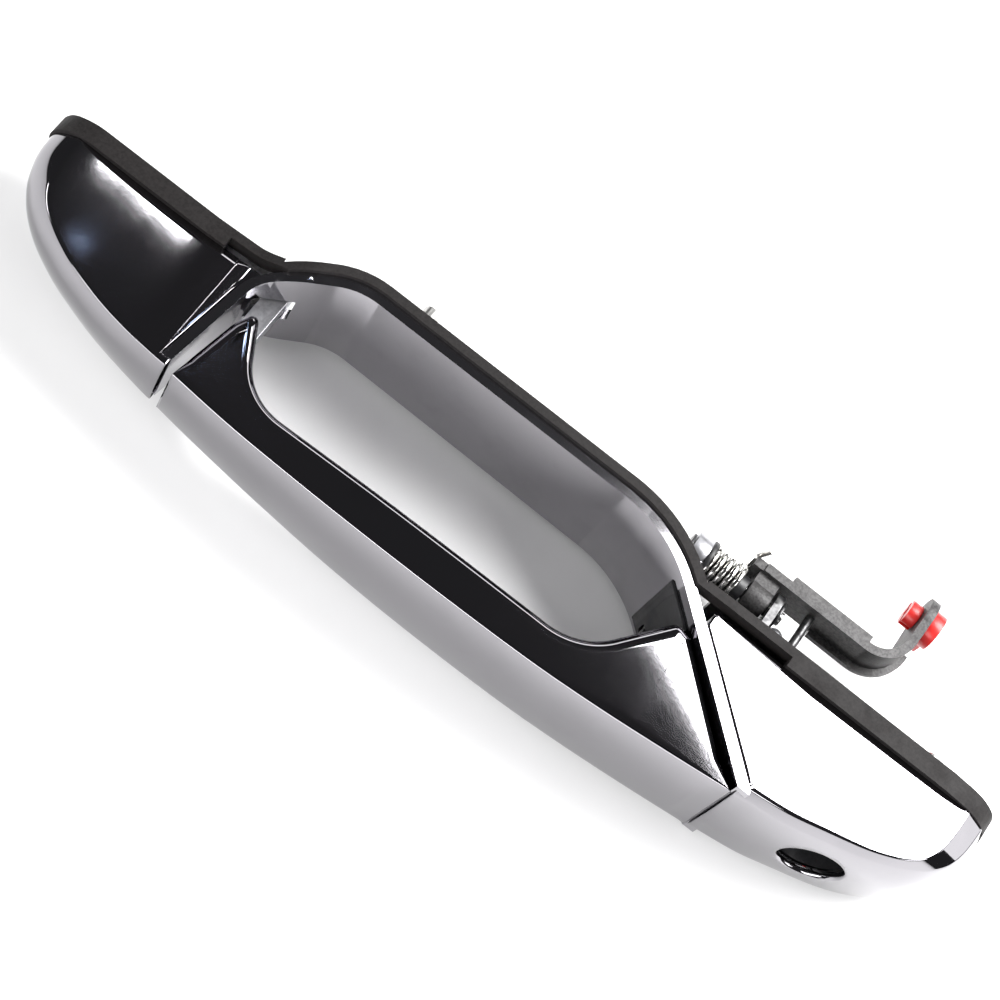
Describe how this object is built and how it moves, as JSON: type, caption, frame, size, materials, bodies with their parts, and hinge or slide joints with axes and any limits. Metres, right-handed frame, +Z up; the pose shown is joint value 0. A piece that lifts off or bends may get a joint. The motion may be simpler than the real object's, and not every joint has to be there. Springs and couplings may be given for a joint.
{
  "type": "car door handle",
  "caption": "Chrome exterior pull handle for a car door: a strap hinged in a bezel with a key hole works a spring-loaded bell crank that moves a latch rod.",
  "frame": {"origin": "centre of the handle's bounding box, which lies in the door skin's plane, where the gasket's back seats", "axes": "+X along the handle towards the key end, +Y into the door, +Z up"},
  "size_m": [0.2984, 0.0922, 0.0426],
  "materials": {
    "chrome_casting": "mirror chrome plate on a zinc casting",
    "chrome_cap": "mirror chrome plate on a zinc casting",
    "chrome_strap": "mirror chrome plate on a zinc casting",
    "gasket_rubber": "soft dark brown-black rubber",
    "black_plastic": "moulded black nylon",
    "red_plastic": "moulded red acetal",
    "grey_casting": "dark grey die casting with a fine cast grain",
    "zinc_casting": "bare zinc casting, satin",
    "zinc_steel": "bright zinc plate",
    "bright_steel": "ground steel",
    "dark_steel": "black phosphate",
    "spring_steel": "drawn spring wire"
  },
  "bodies": {
    "housing": {"cup_wall": "chrome_casting", "left_end_cap": "chrome_cap", "right_end_cap": "chrome_cap", "lock_collar": "black_plastic", "lock_clip": "dark_steel", "gasket": "gasket_rubber", "hinge_bracket": "zinc_casting", "lever_bracket": "dark_steel", "pivot_ear": "zinc_casting", "ear_screw": "zinc_steel", "pivot_pin": "bright_steel", "pivot_clips": "dark_steel", "lever_spring": "spring_steel", "spring_spool": "black_plastic", "hook_guide": "black_plastic", "mounting_studs": "zinc_steel", "clinch_nut": "zinc_steel", "cap_screws": "zinc_steel", "support_pillar": "zinc_casting", "stop_screw": "dark_steel"},
    "strap": {"strap_shell": "chrome_strap", "strap_liner": "black_plastic", "liner_screws": "zinc_steel", "hook_leg": "zinc_steel", "hook_screw": "zinc_steel", "hinge_pin": "bright_steel"},
    "lever": {"bell_crank": "grey_casting", "lever_bush": "black_plastic"},
    "clip": {"rod_clip": "red_plastic"}
  },
  "joints": [
    {"name": "strap_pull", "type": "hinge", "parent": "housing", "child": "strap", "pos_m": [-0.078, -0.021, 0], "axis": [0, 0, -1], "range_deg": [0, 5.5]},
    {"name": "lever_turn", "type": "hinge", "parent": "housing", "child": "lever", "pos_m": [0.066, 0.0135, 0.002], "axis": [-1, 0, 0], "range_deg": [0, 53.9], "stiffness_Nm_per_rad": 0.25, "springref_deg": -28.65, "deforming": ["lever_spring"]},
    {"name": "clip_swivel", "type": "hinge", "parent": "lever", "child": "clip", "pos_m": [0.1062, 0.0391, 0.001], "axis": [1, 0, 0], "range_deg": [-15, 56]}
  ],
  "couplings": [
    {"joint": "lever_turn", "follows": "strap_pull", "ratio": 9.8}
  ]
}
